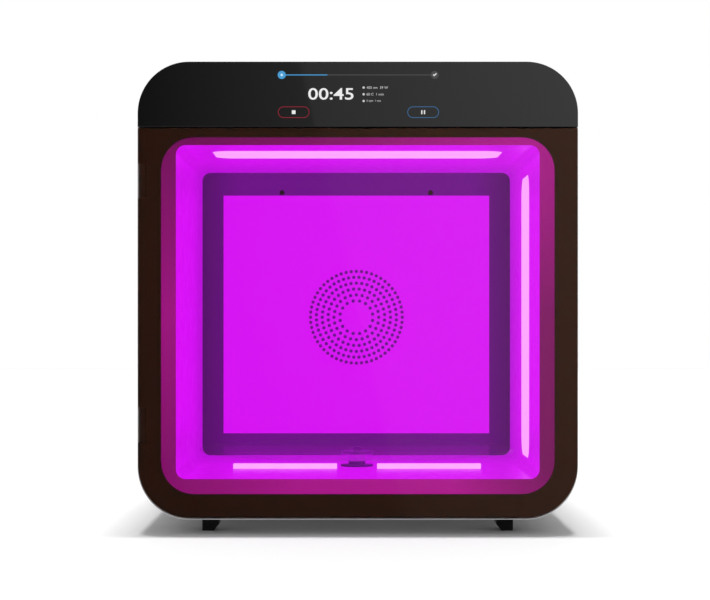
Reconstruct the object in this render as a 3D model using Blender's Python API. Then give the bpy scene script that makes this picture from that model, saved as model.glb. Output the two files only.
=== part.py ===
"""A desktop UV post-cure station: a lit chamber with a tinted door, glass turntable and touch panel.

Metres, +Z up, front towards -Y. The origin is on the floor, under the middle of the machine.
"""

import math

import bmesh
import bpy
from mathutils import Matrix, Vector

MM = 0.001
GAP = 0.3 * MM  # clearance between pieces that touch

# Casing
WIDTH = 526 * MM
FOOT_HEIGHT = 16.4 * MM
SHELL_HEIGHT = 546.6 * MM
SHELL_RADIUS = 63 * MM
SHELL_WALL = 1.5 * MM
SHELL_TOP = FOOT_HEIGHT + SHELL_HEIGHT
HALF_DEPTH = 260 * MM
SHELL_FRONT = -243 * MM
SHELL_BACK = 256.4 * MM
REAR_COVER_THICK = 1.5 * MM

# Front glass: a control panel above and a door below
GLASS_THICK = 4 * MM
GLASS_INSET = 2 * MM
GLASS_HALF = WIDTH / 2 - GLASS_INSET
GLASS_RADIUS = SHELL_RADIUS - GLASS_INSET
GLASS_BOTTOM = 20.6 * MM  # the shell shows as a rim below it
GLASS_TOP = SHELL_TOP - GLASS_INSET
SEAM_Z = 483 * MM
SEAM_GAP = 1.6 * MM
DOOR_TOP = SEAM_Z - SEAM_GAP / 2
PANEL_BOTTOM = SEAM_Z + SEAM_GAP / 2
GLASS_BACK = -HALF_DEPTH + GLASS_THICK
DOOR_BACK = -246 * MM
WINDOW_HALF = 234.5 * MM
WINDOW_LOW = 47.3 * MM
WINDOW_HIGH = 472.4 * MM
WINDOW_RADIUS = 39 * MM

# Display
DISPLAY_HALF = 98 * MM
DISPLAY_LOW = 488 * MM
DISPLAY_HIGH = 552 * MM

# Chamber
CHAMBER_HALF = 217.5 * MM
CHAMBER_LOW = 64.5 * MM
CHAMBER_HIGH = 464 * MM
CHAMBER_RADIUS = 11.5 * MM
CHAMBER_BACK = 186 * MM
LINER_WALL = 1.2 * MM
FLANGE_FRONT = -240 * MM
FLANGE_THICK = 2 * MM

# Fan baffle and its perforation
BAFFLE_HALF = 185 * MM
BAFFLE_LOW = 98 * MM
BAFFLE_HIGH = 429 * MM
BAFFLE_FRONT = 144 * MM
BAFFLE_THICK = 1.2 * MM
FAN_Z = 259.6 * MM
HOLE_RADIUS = 2.4 * MM
HOLE_SIDES = 4
HOLE_RINGS = 6
FIRST_RING_RADIUS = 23 * MM
RING_STEP = 8.2 * MM
FIRST_RING_HOLES = 16
MORE_HOLES_PER_RING = 8

# Light
LED_LENGTH = 362 * MM
LED_WIDTH = 121 * MM
LED_PANE = 3 * MM
TOP_LED_Y = -99 * MM
SIDE_LED_Y = -43.5 * MM
SIDE_LED_Z = 259.8 * MM
BAR_INNER = 25.8 * MM
BAR_OUTER = 158.5 * MM
BAR_HEIGHT = 6.4 * MM
BAR_Y = -70 * MM

# Turntable and its drive
TABLE_Y = -27 * MM
DISC_RADIUS = 204 * MM
DISC_LOW = 85 * MM
DISC_THICK = 4 * MM
HUB_RADIUS = 20.5 * MM
SHAFT_RADIUS = 5 * MM
PULLEY_LOW = 28 * MM
PULLEY_HIGH = 38 * MM
DRIVEN_RADIUS = 30 * MM
DRIVE_RADIUS = 10 * MM
DRIVE_X = 90 * MM

# Door hinges, on a vertical axis inside the door's left edge
HINGE_X = -256 * MM
HINGE_Y = -251 * MM
HINGE_HEIGHT = 40 * MM
HINGE_LOWS = {"lower": 110 * MM, "upper": 400 * MM}
KNUCKLE_RADIUS = 4.5 * MM
PIN_RADIUS = 1.7 * MM
EYE_RADIUS = 2.0 * MM
NOTCH_EDGE = -246 * MM

# Rear
FAN_SIZE = 80 * MM
FAN_DEPTH = 20 * MM
REAR_FAN_Z = 440 * MM
REAR_FANS = {"cooling": -130 * MM, "exhaust": 130 * MM}
INLET_X = 175 * MM
INLET_Z = 75 * MM
ROCKER_TILT = math.radians(7)

CORNER_STEPS = 8
LINER_STEPS = 4
ROUND = 24


def material(name, colour, roughness, metallic=0.0, alpha=1.0, glow=0.0):
    """A Principled material, made once for each name."""
    found = bpy.data.materials.get(name)
    if found:
        return found
    made = bpy.data.materials.new(name)
    made.use_nodes = True
    shader = made.node_tree.nodes["Principled BSDF"]
    shader.inputs["Base Color"].default_value = (*colour, 1)
    shader.inputs["Roughness"].default_value = roughness
    shader.inputs["Metallic"].default_value = metallic
    shader.inputs["Alpha"].default_value = alpha
    if glow:
        shader.inputs["Emission Color"].default_value = (*colour, 1)
        shader.inputs["Emission Strength"].default_value = glow
    made.diffuse_color = (*colour, alpha)
    return made


def shell_paint():
    return material("shell_paint", (0.80, 0.80, 0.79), 0.45)


def black_plastic():
    return material("black_plastic", (0.02, 0.02, 0.022), 0.45)


def black_glass():
    return material("black_glass", (0.012, 0.012, 0.013), 0.06)


def tinted_acrylic():
    return material("tinted_acrylic", (0.25, 0.05, 0.02), 0.05, alpha=0.35)


def clear_glass():
    return material("clear_glass", (0.85, 0.92, 0.92), 0.03, alpha=0.35)


def chamber_coat():
    return material("chamber_coat", (0.72, 0.70, 0.74), 0.35)


def bare_steel():
    return material("bare_steel", (0.60, 0.60, 0.62), 0.30, 1.0)


def aluminium():
    return material("aluminium", (0.77, 0.78, 0.79), 0.35, 1.0)


def rubber():
    return material("rubber", (0.015, 0.015, 0.015), 0.8)


def led_diffuser():
    return material("led_diffuser", (0.95, 0.60, 0.98), 0.25, glow=3.0)


def circuit_board():
    return material("circuit_board", (0.02, 0.14, 0.06), 0.5)


def moulded_nylon():
    return material("moulded_nylon", (0.05, 0.05, 0.055), 0.55)


# Solids as bmeshes


def placed(axis, across, up, along):
    """A point from its two coordinates in an outline and the one along the outline's axis."""
    if axis == "X":
        return (along, across, up)
    if axis == "Y":
        return (across, along, up)
    return (across, up, along)


def rounded(across, up, radii, steps=CORNER_STEPS):
    """A rectangle's outline with rounded corners: across and up are (low, high).

    radii are those of the corners low-low, high-low, high-high and low-high."""
    if not isinstance(radii, (tuple, list)):
        radii = (radii,) * 4
    corners = ((0, 0), (1, 0), (1, 1), (0, 1))
    points = []
    for index, (i, j) in enumerate(corners):
        radius = radii[index]
        centre = (
            across[i] + (radius if i == 0 else -radius),
            up[j] + (radius if j == 0 else -radius),
        )
        count = steps if radius > 0 else 0
        for step in range(count + 1):
            angle = math.pi + index * math.pi / 2 + step / max(count, 1) * math.pi / 2
            points.append((centre[0] + radius * math.cos(angle), centre[1] + radius * math.sin(angle)))
    return points


def circle(across, up, radius, count=ROUND, turn=0.0):
    angles = [turn + 2 * math.pi * step / count for step in range(count)]
    return [(across + radius * math.cos(a), up + radius * math.sin(a)) for a in angles]


def prism(outline, axis, low, high, into=None):
    """The outline swept from low to high along the axis."""
    solid = into or bmesh.new()
    ends = [[solid.verts.new(placed(axis, *p, along)) for p in outline] for along in (low, high)]
    made = [solid.faces.new(ends[0]), solid.faces.new(ends[1])]
    count = len(outline)
    for i in range(count):
        j = (i + 1) % count
        made.append(solid.faces.new((ends[0][i], ends[0][j], ends[1][j], ends[1][i])))
    bmesh.ops.recalc_face_normals(solid, faces=made)
    return solid


def ring_prism(outer, inner, axis, low, high, into=None):
    """The band between two outlines with as many points each, swept along the axis."""
    solid = into or bmesh.new()
    loops = [
        [solid.verts.new(placed(axis, *p, along)) for p in outline]
        for along in (low, high)
        for outline in (outer, inner)
    ]
    pairs = ((0, 1), (2, 3), (0, 2), (1, 3))
    count = len(outer)
    made = []
    for a, b in pairs:
        for i in range(count):
            j = (i + 1) % count
            made.append(solid.faces.new((loops[a][i], loops[a][j], loops[b][j], loops[b][i])))
    bmesh.ops.recalc_face_normals(solid, faces=made)
    return solid


def turned(profile, axis, centre, count=ROUND, into=None):
    """A profile of (radius, height) points turned about an axis through centre.

    It closes on the axis where it starts and ends there, and on itself otherwise."""
    solid = into or bmesh.new()
    on_axis = profile[0][0] == 0 and profile[-1][0] == 0
    rings = []
    for radius, height in profile:
        spots = 1 if radius == 0 else count
        loop = []
        for step in range(spots):
            angle = 2 * math.pi * step / count
            flat = (radius * math.cos(angle), radius * math.sin(angle))
            loop.append(solid.verts.new(Vector(placed(axis, *flat, height)) + Vector(centre)))
        rings.append(loop)
    made = []
    spans = list(zip(rings, rings[1:])) + ([] if on_axis else [(rings[-1], rings[0])])
    for a, b in spans:
        for i in range(count):
            j = (i + 1) % count
            corners = [a[i % len(a)], a[j % len(a)], b[j % len(b)], b[i % len(b)]]
            made.append(solid.faces.new(list(dict.fromkeys(corners))))
    bmesh.ops.recalc_face_normals(solid, faces=made)
    return solid


def rod(axis, centre, radius, low, high, count=ROUND, into=None):
    return turned([(0, low), (radius, low), (radius, high), (0, high)], axis, centre, count, into)


def pipe(axis, centre, inner, outer, low, high, count=ROUND, into=None):
    profile = [(inner, low), (outer, low), (outer, high), (inner, high)]
    return turned(profile, axis, centre, count, into)


def block(low, high, into=None):
    outline = ((low[0], low[1]), (high[0], low[1]), (high[0], high[1]), (low[0], high[1]))
    return prism(outline, "Z", low[2], high[2], into)


# Objects


def put(name, solid, paint, origin=(0, 0, 0), parent=None, smooth=35):
    """An object of the solid, with its origin at the given point in the world."""
    mesh = bpy.data.meshes.new(name)
    bmesh.ops.translate(solid, verts=solid.verts, vec=-Vector(origin))
    solid.to_mesh(mesh)
    solid.free()
    mesh.materials.append(paint)
    mesh.shade_smooth()
    mesh.set_sharp_from_angle(angle=math.radians(smooth))
    thing = bpy.data.objects.new(name, mesh)
    bpy.context.scene.collection.objects.link(thing)
    if parent:
        thing.parent = parent
        thing.location = Vector(origin) - parent.location
    else:
        thing.location = origin
    return thing


def pivot(name, location):
    """An empty on a joint's axis."""
    empty = bpy.data.objects.new(name, None)
    empty.location = location
    bpy.context.scene.collection.objects.link(empty)
    return empty


def with_tool(target, solid, operation):
    """Joins the solid to the target or cuts it out, with a hidden tool object."""
    index = len(target.modifiers)
    tool = put(f"{target.name}.tool{index}", solid, black_plastic())
    tool.hide_render = True
    tool.display_type = "WIRE"
    change = target.modifiers.new(operation.lower() + str(index), "BOOLEAN")
    change.operation = operation
    change.object = tool
    return target


def cut(target, solid):
    return with_tool(target, solid, "DIFFERENCE")


def join(target, solid):
    return with_tool(target, solid, "UNION")


# Casing


def shell_outline(inset):
    half = WIDTH / 2 - inset
    return rounded(
        (-half, half), (FOOT_HEIGHT + inset, SHELL_TOP - inset), SHELL_RADIUS - inset
    )


def build_casing():
    solid = ring_prism(shell_outline(0), shell_outline(SHELL_WALL), "Y", SHELL_FRONT, SHELL_BACK)
    put("outer_shell", solid, shell_paint())
    build_rear_cover()
    build_feet()


def build_rear_cover():
    low = SHELL_BACK + GAP
    cover = put(
        "rear_cover",
        prism(shell_outline(0), "Y", low, low + REAR_COVER_THICK),
        shell_paint(),
    )
    reach = (low - 2 * MM, low + REAR_COVER_THICK + 2 * MM)
    slots = bmesh.new()
    for fan_x in REAR_FANS.values():
        for row in range(7):
            offset = (row - 3) * 10 * MM
            half = math.sqrt((36 * MM) ** 2 - offset**2)
            low_z = REAR_FAN_Z + offset - 2.5 * MM
            prism(
                rounded((fan_x - half, fan_x + half), (low_z, low_z + 5 * MM), 2.4 * MM, 2),
                "Y",
                *reach,
                into=slots,
            )
    for row in range(6):
        low_z = (150 + 14 * row) * MM
        prism(
            rounded((-70 * MM, 70 * MM), (low_z, low_z + 5 * MM), 2.4 * MM, 2),
            "Y",
            *reach,
            into=slots,
        )
    cut(cover, slots)
    doors = bmesh.new()
    block(
        (INLET_X - 14 * MM, reach[0], INLET_Z - 24 * MM),
        (INLET_X + 14 * MM, reach[1], INLET_Z + 24 * MM),
        into=doors,
    )
    block(
        (-INLET_X - 19 * MM, reach[0], INLET_Z - 9 * MM),
        (-INLET_X + 19 * MM, reach[1], INLET_Z + 9 * MM),
        into=doors,
    )
    cut(cover, doors)


def build_feet():
    """Four feet, each with its inner lower edge cut back."""
    outer, inner, slope_in, slope_up = 188 * MM, 167.5 * MM, 6.5 * MM, 8.4 * MM
    length = 30 * MM
    top = FOOT_HEIGHT - GAP
    for side, sign in (("left", -1), ("right", 1)):
        outline = [
            (sign * outer, 0),
            (sign * outer, top),
            (sign * inner, top),
            (sign * inner, slope_up),
            (sign * (inner + slope_in), 0),
        ]
        for end, front in (("front", -212 * MM), ("rear", 182 * MM)):
            put(f"foot_{end}_{side}", prism(outline, "Y", front, front + length), rubber())


# Control panel


def build_panel():
    across = (-GLASS_HALF, GLASS_HALF)
    radii = (0, 0, GLASS_RADIUS, GLASS_RADIUS)
    outline = rounded(across, (PANEL_BOTTOM, GLASS_TOP), radii)
    put("control_panel_glass", prism(outline, "Y", -HALF_DEPTH, GLASS_BACK), black_glass())
    bracket = put(
        "panel_bracket",
        prism(outline, "Y", GLASS_BACK + GAP, SHELL_FRONT - GAP),
        black_plastic(),
    )
    margin = GAP
    cut(
        bracket,
        block(
            (-DISPLAY_HALF - margin, GLASS_BACK, DISPLAY_LOW - margin),
            (DISPLAY_HALF + margin, SHELL_FRONT, DISPLAY_HIGH + margin),
        ),
    )
    glass = GLASS_BACK + GAP
    put(
        "display_module",
        block(
            (-DISPLAY_HALF, glass, DISPLAY_LOW),
            (DISPLAY_HALF, glass + 6 * MM, DISPLAY_HIGH),
        ),
        black_plastic(),
    )
    board = put(
        "display_board",
        block(
            (-DISPLAY_HALF + 8 * MM, glass + 6 * MM + GAP, DISPLAY_LOW + 4 * MM),
            (DISPLAY_HALF - 8 * MM, glass + 7.9 * MM, DISPLAY_HIGH - 4 * MM),
        ),
        circuit_board(),
    )
    chips = bmesh.new()
    for x, z, half in ((-40, 525, 9), (10, 512, 6), (55, 530, 7)):
        block(
            ((x - half) * MM, glass + 7 * MM, (z - half) * MM),
            ((x + half) * MM, glass + 9.5 * MM, (z + half) * MM),
            into=chips,
        )
    join(board, chips)


# Door


def door_outline(inset=0.0):
    return rounded(
        (-GLASS_HALF + inset, GLASS_HALF - inset),
        (GLASS_BOTTOM + inset, DOOR_TOP - inset),
        (GLASS_RADIUS, GLASS_RADIUS, 0.5 * MM, 0.5 * MM),
    )


def window_outline(grow=0.0):
    return rounded(
        (-WINDOW_HALF - grow, WINDOW_HALF + grow),
        (WINDOW_LOW - grow, WINDOW_HIGH + grow),
        WINDOW_RADIUS + grow,
    )


def build_door():
    axis = pivot("door_axis", (HINGE_X, HINGE_Y, 0))
    origin = (HINGE_X, HINGE_Y, 0)
    put(
        "door_window",
        prism(door_outline(), "Y", -HALF_DEPTH, GLASS_BACK),
        tinted_acrylic(),
        origin,
        axis,
    )
    frame = put(
        "door_frame",
        ring_prism(door_outline(), window_outline(), "Y", GLASS_BACK + GAP, DOOR_BACK),
        black_plastic(),
        origin,
        axis,
    )
    cut(frame, hinge_edge_cutter())
    pockets = bmesh.new()
    for low in HINGE_LOWS.values():
        block(
            (-GLASS_HALF - MM, GLASS_BACK, low - MM),
            (NOTCH_EDGE, DOOR_BACK + MM, low + HINGE_HEIGHT + MM),
            into=pockets,
        )
    for low in magnet_lows().values():
        block(
            (246 * MM - GAP, DOOR_BACK - 5 * MM - GAP, low - GAP),
            (256 * MM + GAP, DOOR_BACK + MM, low + 30 * MM + GAP),
            into=pockets,
        )
    cut(frame, pockets)
    put(
        "door_gasket",
        ring_prism(
            window_outline(9 * MM), window_outline(MM), "Y", DOOR_BACK + GAP, FLANGE_FRONT - GAP
        ),
        rubber(),
        origin,
        axis,
    )
    for name, low in magnet_lows().items():
        put(
            f"{name}_door_magnet",
            block((246 * MM, DOOR_BACK - 5 * MM, low), (256 * MM, DOOR_BACK, low + 30 * MM)),
            bare_steel(),
            origin,
            axis,
        )
        put(
            f"{name}_strike_plate",
            block(
                (245 * MM, FLANGE_FRONT - 2.5 * MM, low),
                (257 * MM, FLANGE_FRONT - GAP, low + 30 * MM),
            ),
            bare_steel(),
        )
    for name, low in HINGE_LOWS.items():
        build_hinge(name, low, origin, axis)


def magnet_lows():
    return {"lower": 120 * MM, "upper": 400 * MM}


def hinge_edge_cutter():
    """What a rounded edge leaves of the square one, at the back of the door's left side."""
    radius = 5 * MM
    steps = 6
    outline = [(-GLASS_HALF - MM, DOOR_BACK + MM), (-GLASS_HALF - MM, HINGE_Y)]
    for step in range(steps + 1):
        angle = math.pi - step / steps * math.pi / 2
        outline.append((HINGE_X + radius * math.cos(angle), HINGE_Y + radius * math.sin(angle)))
    outline.append((HINGE_X, DOOR_BACK + MM))
    return prism(outline, "Z", GLASS_BOTTOM - MM, DOOR_TOP + MM)


def build_hinge(name, low, origin, axis):
    """A three-knuckle hinge: the door's leaf has the outer two, and the cabinet's the middle one."""
    high = low + HINGE_HEIGHT
    third = low + 12 * MM
    two_thirds = high - 12 * MM
    centre = (HINGE_X, HINGE_Y, 0)
    half_leaf = 1.25 * MM
    door_leaf = put(
        f"{name}_door_leaf",
        block(
            (HINGE_X + KNUCKLE_RADIUS + 1.2 * MM, HINGE_Y - half_leaf, low),
            (NOTCH_EDGE - GAP, HINGE_Y + half_leaf, high),
        ),
        bare_steel(),
        origin,
        axis,
    )
    arms = bmesh.new()
    for start, end in ((low, third), (two_thirds, high)):
        block(
            (HINGE_X + KNUCKLE_RADIUS - MM, HINGE_Y - half_leaf, start),
            (NOTCH_EDGE - MM, HINGE_Y + half_leaf, end),
            into=arms,
        )
    join(door_leaf, arms)
    knuckles = bmesh.new()
    for start, end in ((low, third), (two_thirds, high)):
        rod("Z", centre, KNUCKLE_RADIUS, start, end, 16, into=knuckles)
    join(door_leaf, knuckles)
    cut(door_leaf, rod("Z", centre, EYE_RADIUS, low - MM, high + MM, 16))
    leaf = put(
        f"{name}_hinge_leaf",
        rod("Z", centre, KNUCKLE_RADIUS, third + GAP, two_thirds - GAP, 16),
        bare_steel(),
    )
    stem = (third + GAP, two_thirds - GAP)
    join(
        leaf,
        block(
            (HINGE_X - half_leaf, HINGE_Y, stem[0]),
            (HINGE_X + half_leaf, FLANGE_FRONT - GAP, stem[1]),
        ),
    )
    join(
        leaf,
        block(
            (HINGE_X - half_leaf, FLANGE_FRONT - 2 * MM - GAP, stem[0]),
            (HINGE_X + 9 * MM, FLANGE_FRONT - GAP, stem[1]),
        ),
    )
    cut(leaf, rod("Z", centre, EYE_RADIUS, low, high, 16))
    put(
        f"{name}_hinge_pin",
        rod("Z", centre, PIN_RADIUS, low - 0.5 * MM, high + 0.5 * MM, 16),
        bare_steel(),
    )


# Chamber


def chamber_outline(grow=0.0, steps=CORNER_STEPS):
    return rounded(
        (-CHAMBER_HALF - grow, CHAMBER_HALF + grow),
        (CHAMBER_LOW - grow, CHAMBER_HIGH + grow),
        CHAMBER_RADIUS + grow,
        steps,
    )


def build_chamber():
    flange_inset = SHELL_WALL + GAP
    put(
        "chamber_flange",
        ring_prism(
            shell_outline(flange_inset),
            chamber_outline(),
            "Y",
            FLANGE_FRONT,
            FLANGE_FRONT + FLANGE_THICK,
        ),
        chamber_coat(),
    )
    front = FLANGE_FRONT + FLANGE_THICK + GAP
    outer, inner = chamber_outline(LINER_WALL, LINER_STEPS), chamber_outline(0, LINER_STEPS)
    liner = put(
        "chamber_liner",
        ring_prism(outer, inner, "Y", front, CHAMBER_BACK - GAP),
        chamber_coat(),
    )
    back_wall = put(
        "chamber_back_wall",
        prism(outer, "Y", CHAMBER_BACK, CHAMBER_BACK + LINER_WALL),
        chamber_coat(),
    )
    cut(back_wall, rod("Y", (0, 0, FAN_Z), 6 * MM, CHAMBER_BACK - MM, 190 * MM, 16))
    openings = bmesh.new()
    half = LED_LENGTH / 2
    top_y = (TOP_LED_Y - LED_WIDTH / 2, TOP_LED_Y + LED_WIDTH / 2)
    side_y = (SIDE_LED_Y - LED_WIDTH / 2, SIDE_LED_Y + LED_WIDTH / 2)
    prism(
        rounded((-half, half), top_y, 24 * MM, 5),
        "Z",
        CHAMBER_HIGH - MM,
        CHAMBER_HIGH + LINER_WALL + MM,
        into=openings,
    )
    prism(
        rounded(side_y, (SIDE_LED_Z - half, SIDE_LED_Z + half), 24 * MM, 5),
        "X",
        CHAMBER_HALF - MM,
        CHAMBER_HALF + LINER_WALL + MM,
        into=openings,
    )
    rod("Z", (0, TABLE_Y, 0), SHAFT_RADIUS + 2 * MM, 60 * MM, 66 * MM, 16, into=openings)
    cut(liner, openings)
    build_baffle()
    build_light(top_y, side_y, half)


def build_baffle():
    """A tray behind the turntable: a perforated plate with a return at each side."""
    back = CHAMBER_BACK - GAP
    low, high = BAFFLE_LOW, BAFFLE_HIGH
    outer = [
        (-BAFFLE_HALF, BAFFLE_FRONT),
        (BAFFLE_HALF, BAFFLE_FRONT),
        (BAFFLE_HALF, back),
        (BAFFLE_HALF - BAFFLE_THICK, back),
        (BAFFLE_HALF - BAFFLE_THICK, BAFFLE_FRONT + BAFFLE_THICK),
        (-BAFFLE_HALF + BAFFLE_THICK, BAFFLE_FRONT + BAFFLE_THICK),
        (-BAFFLE_HALF + BAFFLE_THICK, back),
        (-BAFFLE_HALF, back),
    ]
    baffle = put("fan_baffle", prism(outer, "Z", low, high), chamber_coat())
    holes = bmesh.new()
    for ring in range(HOLE_RINGS):
        radius = FIRST_RING_RADIUS + ring * RING_STEP
        count = FIRST_RING_HOLES + ring * MORE_HOLES_PER_RING
        half_step = math.pi / count if ring % 2 == 0 else 0
        for step in range(count):
            angle = math.pi / 2 + half_step + 2 * math.pi * step / count
            x = radius * math.cos(angle)
            z = FAN_Z + radius * math.sin(angle)
            prism(
                circle(x, z, HOLE_RADIUS, HOLE_SIDES, angle),
                "Y",
                BAFFLE_FRONT - MM,
                BAFFLE_FRONT + BAFFLE_THICK + MM,
                into=holes,
            )
    cut(baffle, holes)
    for side, x in (("left", -105 * MM), ("right", 105 * MM)):
        profile = [(0, -2.2 * MM), (2.2 * MM, -2.0 * MM), (3.6 * MM, -0.6 * MM), (3.6 * MM, 0), (0, 0)]
        put(
            f"back_wall_screw_{side}",
            turned(profile, "Y", (x, CHAMBER_BACK - GAP, 436 * MM), 16),
            bare_steel(),
        )


def heatsink(length, fins):
    """A comb outline, in millimetres: a base 4.5 high with fins up to 22, centred on the length."""
    pitch = length / fins
    fin = 2.4 * MM
    outline = [(-length / 2, 0), (length / 2, 0)]
    for i in reversed(range(fins)):
        middle = -length / 2 + (i + 0.5) * pitch
        outline += [
            (middle + fin / 2, 4.5 * MM),
            (middle + fin / 2, 22 * MM),
            (middle - fin / 2, 22 * MM),
            (middle - fin / 2, 4.5 * MM),
        ]
    outline.insert(2, (length / 2, 4.5 * MM))
    outline.append((-length / 2, 4.5 * MM))
    return outline


def build_light(top_y, side_y, half):
    margin = 5 * MM
    pane_low = CHAMBER_HIGH + LINER_WALL + GAP
    board_low = pane_low + LED_PANE + 6 * MM
    sink_low = board_low + 1.6 * MM + GAP
    put(
        "top_led_window",
        block(
            (-half - margin, top_y[0] - margin, pane_low),
            (half + margin, top_y[1] + margin, pane_low + LED_PANE),
        ),
        led_diffuser(),
    )
    put(
        "top_led_board",
        block((-half, top_y[0], board_low), (half, top_y[1], board_low + 1.6 * MM)),
        circuit_board(),
    )
    comb = [(x, z + sink_low) for x, z in heatsink(LED_LENGTH, 14)]
    put("top_led_heatsink", prism(comb, "Y", *top_y), aluminium())

    pane_x = CHAMBER_HALF + LINER_WALL + GAP
    board_x = pane_x + LED_PANE + 3 * MM
    sink_x = board_x + 1.6 * MM + GAP
    low, high = SIDE_LED_Z - half, SIDE_LED_Z + half
    put(
        "side_led_window",
        block(
            (pane_x, side_y[0] - margin, low - margin),
            (pane_x + LED_PANE, side_y[1] + margin, high + margin),
        ),
        led_diffuser(),
    )
    put(
        "side_led_board",
        block((board_x, side_y[0], low), (board_x + 1.6 * MM, side_y[1], high)),
        circuit_board(),
    )
    comb = [(z + SIDE_LED_Z, x + sink_x) for z, x in heatsink(LED_LENGTH, 14)]
    outline = [(x, z) for z, x in comb]
    put("side_led_heatsink", prism(outline, "Y", *side_y), aluminium())

    for side, sign in (("left", -1), ("right", 1)):
        xs = sorted((sign * BAR_INNER, sign * BAR_OUTER))
        put(
            f"floor_light_{side}",
            block(
                (xs[0], BAR_Y - 6 * MM, CHAMBER_LOW + GAP),
                (xs[1], BAR_Y + 6 * MM, CHAMBER_LOW + BAR_HEIGHT),
            ),
            led_diffuser(),
        )


# Turntable


def build_turntable():
    centre = (0, TABLE_Y, 0)
    axis = pivot("turntable_axis", centre)
    spigot = 4 * MM
    hub_low = 72 * MM
    hub = [
        (0, DISC_LOW - 4 * MM),
        (SHAFT_RADIUS + GAP, DISC_LOW - 4 * MM),
        (SHAFT_RADIUS + GAP, hub_low),
        (12 * MM, hub_low),
        (12 * MM, DISC_LOW - 5 * MM),
        (HUB_RADIUS, DISC_LOW - 5 * MM),
        (HUB_RADIUS, DISC_LOW - GAP),
        (spigot, DISC_LOW - GAP),
        (spigot, DISC_LOW + DISC_THICK + 1.5 * MM),
        (0, DISC_LOW + DISC_THICK + 1.5 * MM),
    ]
    put("turntable_hub", turned(hub, "Z", centre), aluminium(), centre, axis)
    put(
        "turntable_disc",
        pipe("Z", centre, spigot + GAP, DISC_RADIUS, DISC_LOW, DISC_LOW + DISC_THICK, 48),
        clear_glass(),
        centre,
        axis,
    )
    put(
        "turntable_shaft",
        rod("Z", centre, SHAFT_RADIUS, PULLEY_LOW - MM, DISC_LOW - 4 * MM - GAP, 16),
        bare_steel(),
        centre,
        axis,
    )
    put(
        "driven_pulley",
        turned(pulley(DRIVEN_RADIUS, SHAFT_RADIUS + GAP), "Z", centre),
        moulded_nylon(),
        centre,
        axis,
    )
    drive_axis = pivot("drive_axis", (DRIVE_X, TABLE_Y, 0))
    drive_centre = (DRIVE_X, TABLE_Y, 0)
    profile = pulley(DRIVE_RADIUS, 0)
    spindle = [(0, PULLEY_LOW), *profile[1:-1], (2.5 * MM, PULLEY_HIGH), (2.5 * MM, 52 * MM), (0, 52 * MM)]
    put("drive_pulley", turned(spindle, "Z", drive_centre), moulded_nylon(), drive_centre, drive_axis)
    build_drive(centre, drive_centre)


def pulley(radius, bore):
    """A flanged rim: the belt lies in the groove between the flanges."""
    flange = radius + 2 * MM
    return [
        (bore, PULLEY_LOW),
        (flange, PULLEY_LOW),
        (flange, PULLEY_LOW + 1.5 * MM),
        (radius, PULLEY_LOW + 1.5 * MM),
        (radius, PULLEY_HIGH - 1.5 * MM),
        (flange, PULLEY_HIGH - 1.5 * MM),
        (flange, PULLEY_HIGH),
        (bore, PULLEY_HIGH),
    ]


def belt_outline(grow):
    """The open belt's line round both pulleys: two arcs, joined by the tangents."""
    big, small = DRIVEN_RADIUS + grow, DRIVE_RADIUS + grow
    lean = math.asin((big - small) / DRIVE_X)
    points = []
    steps = 14
    start, end = math.pi / 2 - lean, 3 * math.pi / 2 + lean
    for step in range(steps + 1):
        angle = start + step / steps * (end - start)
        points.append((big * math.cos(angle), TABLE_Y + big * math.sin(angle)))
    for step in range(steps + 1):
        angle = end + step / steps * (2 * math.pi - (end - start))
        points.append((DRIVE_X + small * math.cos(angle), TABLE_Y + small * math.sin(angle)))
    return points


def build_drive(centre, drive_centre):
    put(
        "drive_belt",
        ring_prism(
            belt_outline(1.8 * MM),
            belt_outline(GAP),
            "Z",
            PULLEY_LOW + 2 * MM,
            PULLEY_HIGH - 2 * MM,
        ),
        rubber(),
    )
    floor = CHAMBER_LOW - LINER_WALL - GAP
    bore = SHAFT_RADIUS + GAP
    housing = [
        (bore, PULLEY_HIGH + 2 * MM),
        (14 * MM, PULLEY_HIGH + 2 * MM),
        (14 * MM, floor - 4 * MM),
        (26 * MM, floor - 4 * MM),
        (26 * MM, floor),
        (bore, floor),
    ]
    put("bearing_housing", turned(housing, "Z", centre), aluminium())
    motor = [
        (0, 54 * MM),
        (2.9 * MM, 54 * MM),
        (2.9 * MM, PULLEY_HIGH + 2 * MM),
        (17 * MM, PULLEY_HIGH + 2 * MM),
        (17 * MM, floor),
        (0, floor),
    ]
    put("gearmotor", turned(motor, "Z", drive_centre), bare_steel())


# Air and heat


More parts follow.
